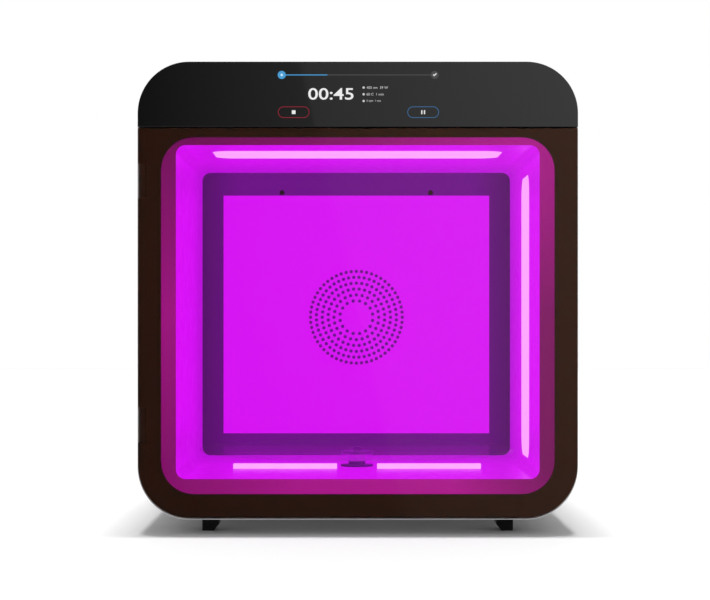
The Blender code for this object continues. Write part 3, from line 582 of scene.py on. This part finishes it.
def build_panel(paint):
    low, high = PANEL
    radii = (0.4 * MM, 0.4 * MM, GLASS_RADIUS, GLASS_RADIUS)
    outline = rounded((low.x, high.x), (low.z, high.z), radii)
    piece(
        "panel_glass", sweep(outline, "Y", low.y, high.y), paint["panel"], "cabinet",
        ["control_panel_glass"], 0.8 * MM,
    )
    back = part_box("panel_bracket")
    tray = piece(
        "panel_tray", sweep(outline, "Y", back[0].y, back[1].y), paint["plastic"], "cabinet",
        ["panel_bracket"],
    )
    low, high = DISPLAY
    margin = 0.3 * MM
    carve(tray, cuboid(
        (low.x - margin, back[0].y - MM, low.z - margin), (high.x + margin, back[1].y + MM, high.z + margin)
    ))
    dress("display_module", paint["plastic"], 0.4 * MM)
    dress("display_board", paint["board"])
    build_screen(paint)


def build_screen(paint):
    """The countdown screen: a progress line, the time left, three readings and two buttons."""
    front = PANEL[0].y - 0.02 * MM
    back = front + 0.1 * MM
    left, right = -90.2 * MM, 91.1 * MM
    line_z = 545.2 * MM
    done = -36.1 * MM
    half_line = 0.55 * MM

    def bar(name, x_span, z_span, radius, colour, lift=0.0):
        outline = rounded(x_span, z_span, radius, 8)
        solid = sweep(outline, "Y", front - lift * MM, back - lift * MM)
        piece(name, solid, paint[colour], "cabinet")

    def dot(name, x, z, radius, colour, lift=0.0):
        bar(name, (x - radius, x + radius), (z - radius, z + radius), radius * 0.999, colour, lift)

    bar("progress_rest", (done, right), (line_z - half_line, line_z + half_line), 0.3 * MM, "grey")
    bar("progress_done", (left, done), (line_z - half_line, line_z + half_line), 0.3 * MM, "blue", 0.02)
    dot("progress_start", left, line_z, 4.8 * MM, "blue", 0.04)
    dot("progress_start_centre", left, line_z, 1.5 * MM, "pale_blue", 0.06)
    dot("progress_end", right, line_z, 4.7 * MM, "grey", 0.04)
    tick = [(-2.3, 0.2), (-1.5, 1.0), (-0.5, 0.0), (1.7, 2.2), (2.5, 1.4), (-0.5, -1.6)]
    outline = [(right + x * MM, line_z + z * MM) for x, z in tick]
    solid = sweep(outline, "Y", front - 0.06 * MM, back)
    piece("progress_tick", solid, paint["white"], "cabinet")

    text("time_left", "00:45", (-58.8, -5.1), (515.8, 529.7), paint["white"], front, 0.009)
    readings = (("405 nm  39 W", 530.2), ("60 C  1 min", 522.3), ("5 rpm  1 min", 514.3))
    for index, (words, z) in enumerate(readings):
        dot(f"reading_icon_{index}", 6.9 * MM, z * MM, 1.4 * MM, "soft_white")
        text(f"reading_{index}", words, (10.4, None), (z - 1.5, z + 1.5), paint["soft_white"], front, 0.0)

    button_z = (494.3 * MM, 507.8 * MM)
    middle = (button_z[0] + button_z[1]) / 2
    line = 0.75 * MM
    for name, x_span, colour in (
        ("stop", (-94.7 * MM, -57.4 * MM), "red"), ("pause", (58.7 * MM, 96.1 * MM), "dim_blue"),
    ):
        outer = rounded(x_span, button_z, 6.7 * MM, 12)
        inner_x = (x_span[0] + line, x_span[1] - line)
        inner = rounded(inner_x, (button_z[0] + line, button_z[1] - line), 6.7 * MM - line, 12)
        ring = band(outer, inner, "Y", front, back)
        piece(f"{name}_button", ring, paint[colour], "cabinet")
        x = (x_span[0] + x_span[1]) / 2
        if name == "stop":
            half = 2.2 * MM
            bar("stop_mark", (x - half, x + half), (middle - half, middle + half), 0.5 * MM, "white")
        else:
            for side, offset in (("left", -1.6), ("right", 1.6)):
                span = (x + (offset - 0.7) * MM, x + (offset + 0.7) * MM)
                bar(f"pause_mark_{side}", span, (middle - 2.4 * MM, middle + 2.4 * MM), 0.3 * MM, "white")


def text(name, words, x_span, z_span, paint, front, weight):
    """Words as raised strokes that fill a box given in millimetres; an open end keeps their own width."""
    curve = bpy.data.curves.new(name, "FONT")
    curve.body = words
    curve.offset = weight
    curve.resolution_u = 4
    holder = bpy.data.objects.new(name + "_curve", curve)
    bpy.context.scene.collection.objects.link(holder)
    graph = bpy.context.evaluated_depsgraph_get()
    flat = bpy.data.meshes.new_from_object(holder.evaluated_get(graph))
    bpy.data.objects.remove(holder)
    solid = bmesh.new()
    solid.from_mesh(flat)
    bpy.data.meshes.remove(flat)
    bmesh.ops.remove_doubles(solid, verts=solid.verts, dist=0.0001)
    xs = [v.co.x for v in solid.verts]
    ys = [v.co.y for v in solid.verts]
    tall = (z_span[1] - z_span[0]) * MM / (max(ys) - min(ys))
    wide = (x_span[1] - x_span[0]) * MM / (max(xs) - min(xs)) if x_span[1] else tall
    for v in solid.verts:
        x = x_span[0] * MM + (v.co.x - min(xs)) * wide
        z = z_span[0] * MM + (v.co.y - min(ys)) * tall
        v.co = (x, front + 0.1 * MM, z)
    made = bmesh.ops.extrude_face_region(solid, geom=list(solid.faces))
    moved = [g for g in made["geom"] if isinstance(g, bmesh.types.BMVert)]
    bmesh.ops.translate(solid, verts=moved, vec=(0, -0.12 * MM, 0))
    closed(solid, list(solid.faces))
    piece(name, solid, paint, "cabinet")


# Door


def door_outline():
    low, high = WINDOW
    return rounded((low.x, high.x), (low.z, high.z), (GLASS_RADIUS, GLASS_RADIUS, 0.4 * MM, 0.4 * MM))


def clear_outline(grow=0.0):
    return rounded(
        (-CLEAR_HALF - grow, CLEAR_HALF + grow), (CLEAR_Z[0] - grow, CLEAR_Z[1] + grow), CLEAR_RADIUS + grow
    )


def build_door(paint):
    low, high = WINDOW
    piece(
        "door_pane", sweep(door_outline(), "Y", low.y, high.y), paint["window"], "door",
        ["door_window"], 0.6 * MM, 2,
    )
    dress("door_frame", paint["frame"])
    inner, outer = clear_outline(MM), clear_outline(9 * MM)
    solid = band(outer, inner, "Y", GASKET[0].y, GASKET[1].y)
    piece("door_seal", solid, paint["rubber"], "door", ["door_gasket"], 1.2 * MM)
    screws = bmesh.new()
    for x, z in [(x, 37.5) for x in (-193, -83, 83, 193)] + [(x, 86) for x in (-246, 246)]:
        add_screw(screws, "Y", (x * MM, FRAME[0].y - 0.02 * MM, z * MM), 3.4 * MM, 1, -0.1 * MM)
    piece("door_frame_screws", screws, paint["hidden_screw"], "door")
    for level in ("upper", "lower"):
        for node in ("door_magnet", "strike_plate", "hinge_leaf", "door_leaf", "hinge_pin"):
            dress(f"{level}_{node}", paint["dark_steel"], 0.15 * MM)


# Chamber


def chamber_outline(grow=0.0):
    return rounded(
        (-CHAMBER_HALF - grow, CHAMBER_HALF + grow),
        (CHAMBER_Z[0] - grow, CHAMBER_Z[1] + grow),
        CHAMBER_RADIUS + grow,
        PANE_STEPS,
    )


def build_chamber(paint):
    low, high = FLANGE
    inner = rounded((-CHAMBER_HALF, CHAMBER_HALF), CHAMBER_Z, CHAMBER_RADIUS)
    outer = rounded((low.x, high.x), (low.z, high.z), SHELL_RADIUS - (low.x - SHELL[0].x))
    under_seal = clear_outline(5 * MM)
    piece(
        "chamber_front_flange", band(under_seal, inner, "Y", low.y, high.y), paint["flange"], "cabinet",
        ["chamber_flange"], 0.6 * MM,
    )
    piece(
        "chamber_flange_rim", band(outer, under_seal, "Y", low.y, high.y), paint["dark_steel"], "cabinet",
    )
    low, high = LINER
    wall = -CHAMBER_HALF - low.x
    liner = piece(
        "chamber_box", band(chamber_outline(wall), chamber_outline(), "Y", low.y, high.y), paint["wall"],
        "cabinet", ["chamber_liner"],
    )
    middle = (CHAMBER_Z[0] + CHAMBER_Z[1]) / 2
    bare_side(liner, paint["outside"], lambda face: face.normal.x * face.center.x > 1e-5
              or face.normal.z * (face.center.z - middle) > 1e-5)
    carve(liner, chamber_openings(wall))
    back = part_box("chamber_back_wall")
    rear = piece(
        "chamber_rear_wall", sweep(chamber_outline(wall), "Y", back[0].y, back[1].y), paint["back_wall"],
        "cabinet", ["chamber_back_wall"],
    )
    bare_side(rear, paint["outside"], lambda face: face.normal.y > 0.5)
    hole = [(0, 180 * MM), (6 * MM, 180 * MM), (6 * MM, 195 * MM), (0, 195 * MM)]
    carve(rear, turn(hole, "Y", (0, 0, FAN_Z), 32))
    build_baffle(paint)
    for node in ("top_led_window", "side_led_window"):
        dress(node, paint["lamp"])
    for node in ("floor_light_left", "floor_light_right"):
        dress(node, paint["lamp"], 1.2 * MM)
    for node in ("top_led_board", "side_led_board"):
        dress(node, paint["board"])
    for node in ("top_led_heatsink", "side_led_heatsink", "bearing_housing"):
        dress(node, paint["aluminium"])
    for thing in ("chamber_front_flange", "chamber_box", "chamber_rear_wall", "perforated_baffle"):
        bpy.data.objects[thing].visible_diffuse = False
    for node in ("back_wall_screw_left", "back_wall_screw_right"):
        dress(node, paint["dark_screw"], 0.2 * MM)


def bare_side(thing, paint, chosen):
    """Gives the chosen faces a material of their own, where the lamps' light doesn't reach."""
    thing.data.materials.append(paint)
    for face in thing.data.polygons:
        if chosen(face):
            face.material_index = 1


def chamber_openings(wall):
    """The openings for the two LED windows and the turntable's shaft."""
    solid = bmesh.new()

    def inside(low, high):
        return (low + PANE_MARGIN, high - PANE_MARGIN)

    low, high = TOP_PANE
    outline = rounded(inside(low.x, high.x), inside(low.y, high.y), PANE_CORNER, PANE_STEPS)
    sweep(outline, "Z", CHAMBER_Z[1] - MM, CHAMBER_Z[1] + wall + MM, solid)
    low, high = SIDE_PANE
    outline = rounded(inside(low.y, high.y), inside(low.z, high.z), PANE_CORNER, PANE_STEPS)
    sweep(outline, "X", CHAMBER_HALF - MM, CHAMBER_HALF + wall + MM, solid)
    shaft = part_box("turntable_shaft")
    middle = (shaft[0] + shaft[1]) / 2
    hole = [(0, 60 * MM), (7 * MM, 60 * MM), (7 * MM, 66 * MM), (0, 66 * MM)]
    turn(hole, "Z", (middle.x, middle.y, 0), 32, solid)
    return solid


def build_baffle(paint):
    low, high = BAFFLE
    sheet = 1.2 * MM
    half, front, back = high.x, low.y, high.y
    outline = [
        (-half, front), (half, front), (half, back), (half - sheet, back),
        (half - sheet, front + sheet), (-half + sheet, front + sheet), (-half + sheet, back), (-half, back),
    ]
    tray = piece(
        "perforated_baffle", sweep(outline, "Z", low.z, high.z), paint["baffle"], "cabinet",
        ["fan_baffle"],
    )
    holes = bmesh.new()
    for ring in range(HOLE_RINGS):
        radius = FIRST_RING + ring * RING_STEP
        count = 16 + 8 * ring
        offset = math.pi / count if ring % 2 == 0 else 0
        for step in range(count):
            angle = math.pi / 2 + offset + 2 * math.pi * step / count
            x, z = radius * math.cos(angle), FAN_Z + radius * math.sin(angle)
            circle = [
                (x + HOLE_RADIUS * math.cos(a), z + HOLE_RADIUS * math.sin(a))
                for a in (2 * math.pi * k / 14 for k in range(14))
            ]
            sweep(circle, "Y", front - MM, front + sheet + MM, holes)
    carve(tray, holes)


# Turntable, air and electrics


def build_turntable(paint):
    low, high = DISC
    centre = ((low.x + high.x) / 2, (low.y + high.y) / 2, 0)
    radius = (high.x - low.x) / 2
    solid = turn(
        [(4.3 * MM, low.z), (radius, low.z), (radius, high.z), (4.3 * MM, high.z)], "Z", centre, 160
    )
    piece("glass_turntable", solid, paint["disc"], "glass_plate", ["turntable_disc"], 0.6 * MM)
    dress("turntable_hub", paint["hub"], 0.4 * MM)
    # The shaft and the seat under the hub are painted in shade, with a dim painted glow.
    dress("turntable_shaft", paint["seat"])
    floor = CHAMBER_Z[0] + 0.3 * MM
    seat = [
        (6 * MM, floor), (21 * MM, floor), (21 * MM, floor + 2.2 * MM), (11 * MM, floor + 2.8 * MM),
        (11 * MM, floor + 6.5 * MM), (6 * MM, floor + 6.5 * MM),
    ]
    piece("turntable_seat", turn(seat, "Z", centre), paint["seat"], "cabinet")
    for node in ("driven_pulley", "drive_pulley"):
        dress(node, paint["nylon"], 0.3 * MM)
    dress("drive_belt", paint["rubber"])
    dress("gearmotor", paint["steel"], 0.5 * MM)


def build_air(paint):
    # The impeller and the ring heater behind the baffle glow with painted lamp light.
    for node in ("circulation_impeller", "ring_heater"):
        dress(node, paint["hollow"])
    for node in ("circulation_motor", "temperature_sensor"):
        dress(node, paint["steel"])
    for name in ("cooling", "exhaust"):
        dress(f"{name}_fan_frame", paint["nylon"], 0.4 * MM)
        dress(f"{name}_fan_rotor", paint["plastic"], 0.2 * MM)


def build_electrics(paint):
    dress("power_supply", paint["aluminium"], 0.6 * MM)
    dress("mainboard", paint["board"])
    dress("power_inlet", paint["plastic"], 0.3 * MM)
    dress("power_rocker", paint["plastic"], 0.4 * MM)
    dress("data_port", paint["steel"])


# Stage


def build_stage():
    """A pale floor under a white sky; five leaning suns over the floor soften the shadow's sides only."""
    floor_material, _, _, shader = new_material("stage_floor")
    shader.inputs["Base Color"].default_value = (0.42, 0.42, 0.42, 1)
    shader.inputs["Roughness"].default_value = 0.9
    shader.inputs["Specular IOR Level"].default_value = 0.0
    solid = bmesh.new()
    corners = ((-8, -8), (8, -8), (8, 8), (-8, 8))
    solid.faces.new([solid.verts.new((x, y, 0)) for x, y in corners])
    mesh = bpy.data.meshes.new("floor")
    solid.to_mesh(mesh)
    solid.free()
    mesh.materials.append(floor_material)
    floor = bpy.data.objects.new("floor", mesh)
    bpy.context.scene.collection.objects.link(floor)
    floor.visible_glossy = False
    build_flag()

    world = bpy.data.worlds.new("studio")
    bpy.context.scene.world = world
    world.use_nodes = True
    background = world.node_tree.nodes["Background"]
    background.inputs["Color"].default_value = (1, 1, 1, 1)
    background.inputs["Strength"].default_value = 1.0

    receivers = bpy.data.collections.new("lit_by_overhead")
    receivers.objects.link(floor)
    for index in range(5):
        overhead = add_sun(f"overhead_{index}", 0.98, 3.0, -3.0, (index - 2) * 2.4)
        overhead.light_linking.receiver_collection = receivers
    add_sun("key", 0.7, 25.0, -40.0)


def add_sun(name, energy, softness, tilt, lean=0.0):
    """A far light, tilted from overhead about X and leaning to one side about Y; degrees."""
    data = bpy.data.lights.new(name, "SUN")
    data.energy = energy
    data.angle = math.radians(softness)
    lamp = bpy.data.objects.new(name, data)
    lamp.rotation_euler = (math.radians(tilt), math.radians(lean), 0)
    bpy.context.scene.collection.objects.link(lamp)
    return lamp


def build_flag():
    """Two grey cards behind the camera, which the front glass mirrors up to a slanting edge."""
    y = PANEL[0].y - 4.0
    edge_top, edge_bottom = Vector((-0.168, y, 1.103)), Vector((0.173, y, -0.374))
    slope = (edge_top - edge_bottom) * 0.5
    top, bottom = edge_top + slope, edge_bottom - slope
    for name, far, tones in (
        ("flag_left", -2.5, [(0.36, (0.10,) * 3), (0.47, (0.34,) * 3)]),
        ("flag_right", 2.5, [(0.47, (0.50,) * 3), (0.68, (0.92,) * 3)]),
    ):
        made, nodes, links, shader = new_material(name)
        shader.inputs["Base Color"].default_value = (0, 0, 0, 1)
        shader.inputs["Specular IOR Level"].default_value = 0.0
        across = ramp(nodes, links, axis_value(nodes, links, "X", -2.5, 2.5), tones)
        links.new(across, shader.inputs["Emission Color"])
        rise = ranged(nodes, links, axis_value(nodes, links, "Z", -0.4, 1.1), 0.85, 1.25, 0.0, 1.0)
        links.new(rise, shader.inputs["Emission Strength"])
        solid = bmesh.new()
        corners = [top, bottom, Vector((far, y, bottom.z)), Vector((far, y, top.z))]
        solid.faces.new([solid.verts.new(c) for c in corners])
        mesh = bpy.data.meshes.new(name)
        solid.to_mesh(mesh)
        solid.free()
        mesh.materials.append(made)
        card = bpy.data.objects.new(name, mesh)
        bpy.context.scene.collection.objects.link(card)
        card.visible_camera = False
        card.visible_diffuse = False
        card.visible_shadow = False
        card.visible_transmission = False


def build_camera():
    data = bpy.data.cameras.new("camera")
    data.lens = 98.4
    data.sensor_width = 36
    data.shift_x = 0.0099
    data.shift_y = 0.035
    data.clip_end = 100
    camera = bpy.data.objects.new("camera", data)
    camera.location = (-11.7 * MM, PANEL[0].y - 2.3, 249 * MM)
    camera.rotation_euler = (math.pi / 2, 0, 0)
    bpy.context.scene.collection.objects.link(camera)
    bpy.context.scene.camera = camera
    bpy.context.scene.view_settings.view_transform = "Standard"


build_camera()
paint = make_materials()
build_casing(paint)
build_panel(paint)
build_door(paint)
build_chamber(paint)
build_turntable(paint)
build_air(paint)
build_electrics(paint)
build_stage()
